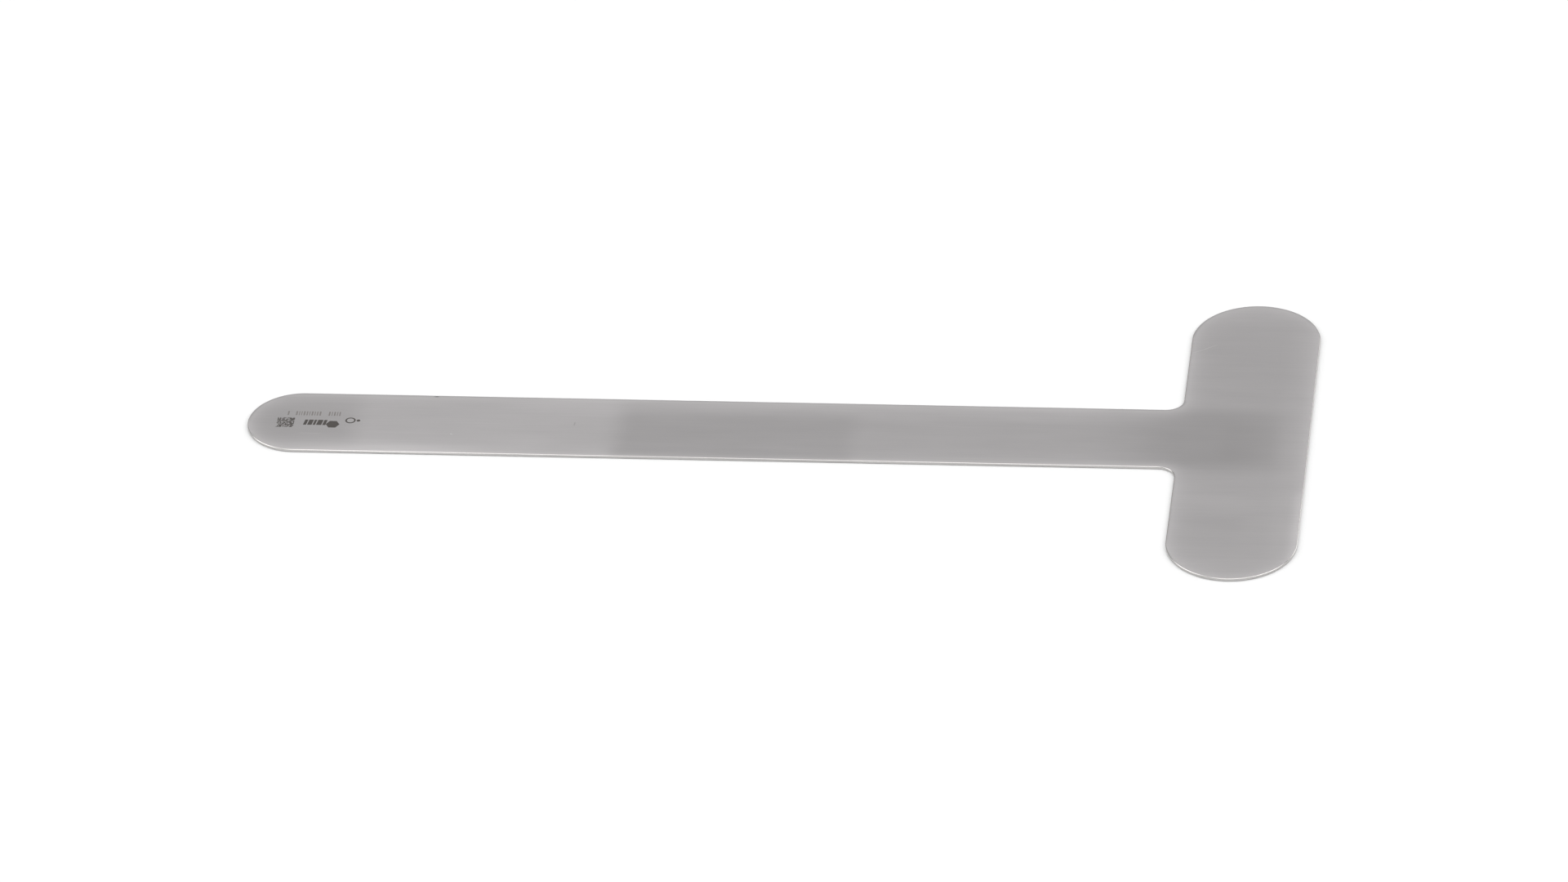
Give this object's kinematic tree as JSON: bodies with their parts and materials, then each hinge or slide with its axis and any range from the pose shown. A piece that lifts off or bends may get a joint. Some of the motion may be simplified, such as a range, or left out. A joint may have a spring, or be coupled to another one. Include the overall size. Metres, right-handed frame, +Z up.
{
  "type": "t-shaped plate retractor",
  "caption": "Flat T-shaped hand instrument cut from thin stainless steel sheet: a long strip handle with a rounded tip runs into a wider crosspiece with rounded ends.",
  "frame": {"origin": "centre of the overall outline, on the underside, so the plate lies on Z = 0", "axes": "+X along the handle towards the crosspiece, +Y along the crosspiece, +Z up through the sheet"},
  "size_m": [0.305, 0.143, 0.001],
  "materials": {
    "satin_steel": "satin, fine grain along the handle, rim polished",
    "dark_engraving": "matt black laser marking in the steel's surface",
    "grey_engraving": "faint grey laser marking in the steel's surface"
  },
  "bodies": {
    "root": {"tee_plate": "satin_steel"}
  },
  "joints": []
}
